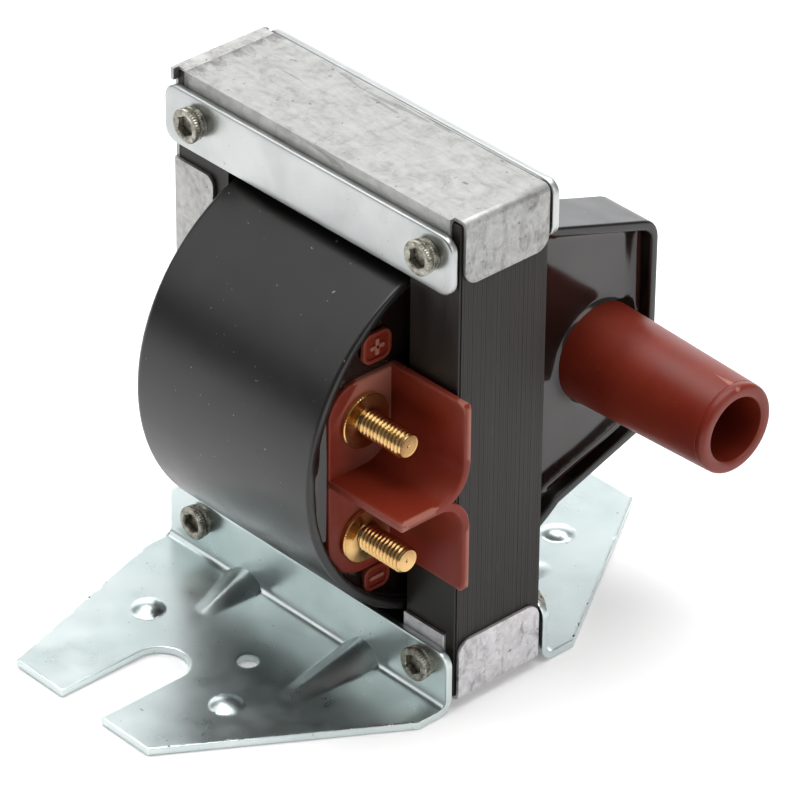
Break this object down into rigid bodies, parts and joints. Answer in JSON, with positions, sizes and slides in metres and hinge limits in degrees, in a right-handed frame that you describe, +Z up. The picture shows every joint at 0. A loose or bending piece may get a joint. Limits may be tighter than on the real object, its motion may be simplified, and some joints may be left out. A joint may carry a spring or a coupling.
{
  "type": "ignition coil",
  "caption": "Open-core ignition coil: laminated frame round a resin-filled winding case, two threaded terminals, a high-tension tower and slotted mounting brackets.",
  "frame": {"origin": "middle of the line between the two mounting slots, on the underside of the bracket plates", "axes": "+Z up from the mounting face; +X along the core towards the open end of the case, the way the terminals and the tower point; -Y is the front, with the screw heads and the terminals"},
  "size_m": [0.0917, 0.1166, 0.098],
  "materials": {
    "core_steel": "dark varnish over stacked steel sheets",
    "fibre": "pressed insulating fibre",
    "tinned_sheet": "dull mottled tinned sheet, scuffed",
    "zinc_plate": "bright zinc plating with a faint blue tint",
    "screw_steel": "dull olive plating",
    "case_plastic": "satin black moulding with fine scratches",
    "resin": "glossy dark casting resin",
    "bobbin_plastic": "natural nylon",
    "copper": "enamelled copper wire",
    "film": "polyester film",
    "red_plastic": "satin red-brown moulding",
    "brass": "bright turned brass"
  },
  "bodies": {
    "root": {"core_e_laminations": "core_steel", "core_keeper_laminations": "core_steel", "core_gap_spacer": "fibre", "top_cap": "tinned_sheet", "bottom_cap": "tinned_sheet", "end_clip": "tinned_sheet", "front_clamp_strip": "zinc_plate", "rear_clamp_strip": "zinc_plate", "front_bracket": "zinc_plate", "rear_bracket": "zinc_plate", "core_screws": "screw_steel", "core_nuts": "screw_steel", "winding_case": "case_plastic", "potting_resin": "resin", "primary_bobbin": "bobbin_plastic", "primary_winding": "copper", "primary_wrap": "film", "secondary_bobbin": "bobbin_plastic", "secondary_winding": "copper", "primary_lead_upper": "copper", "primary_lead_lower": "copper", "secondary_return_lead": "copper", "ht_lead": "copper", "terminal_block": "red_plastic", "terminal_stud_upper": "brass", "terminal_stud_lower": "brass", "ht_tower": "red_plastic", "ht_contact": "brass"}
  },
  "joints": []
}
